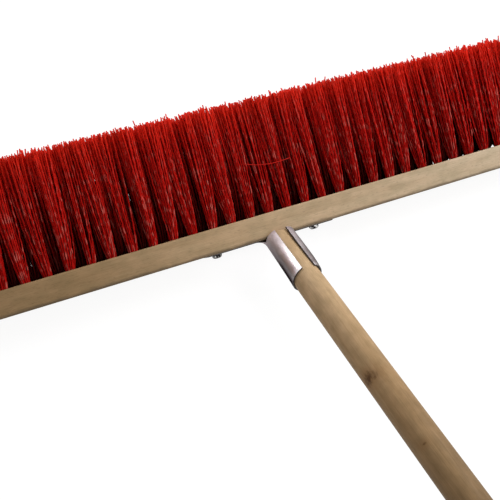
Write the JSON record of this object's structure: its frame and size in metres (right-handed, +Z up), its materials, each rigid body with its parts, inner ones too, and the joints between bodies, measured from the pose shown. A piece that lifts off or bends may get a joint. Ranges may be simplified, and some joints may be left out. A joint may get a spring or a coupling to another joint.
{
  "type": "street broom",
  "caption": "Street broom on its back: staggered rows of stiff red tufts in a flat wooden block, with a long round wooden handle in a slanted, split steel socket screwed to the block.",
  "frame": {"origin": "On the floor, at the centre of the ground that the lying broom covers", "axes": "+Z up from the floor; X along the block; the handle runs toward -Y and the bristles point up and toward +Y"},
  "size_m": [0.8, 1.5426, 0.1479],
  "materials": {
    "block_wood": "planed, unfinished beech",
    "handle_wood": "turned and sanded, unfinished",
    "zinc_steel": "pressed sheet, bright zinc plated",
    "screw_steel": "dark zinc plated",
    "red_bristle": "stiff drawn filament, glossy",
    "anchor_wire": "bright drawn wire"
  },
  "bodies": {
    "head": {"block": "block_wood", "handle_socket": "zinc_steel", "screws": "screw_steel", "tuft_row_1": "red_bristle", "tuft_row_2": "red_bristle", "tuft_row_3": "red_bristle", "tuft_row_4": "red_bristle", "tuft_row_5": "red_bristle", "tuft_anchors_1": "anchor_wire", "tuft_anchors_2": "anchor_wire", "tuft_anchors_3": "anchor_wire", "tuft_anchors_4": "anchor_wire", "tuft_anchors_5": "anchor_wire"},
    "handle": {"handle": "handle_wood"}
  },
  "joints": [
    {"name": "handle_slide", "type": "slide", "parent": "head", "child": "handle", "axis": [0, -0.9998, -0.0177], "range_m": [0, 0.061]}
  ]
}
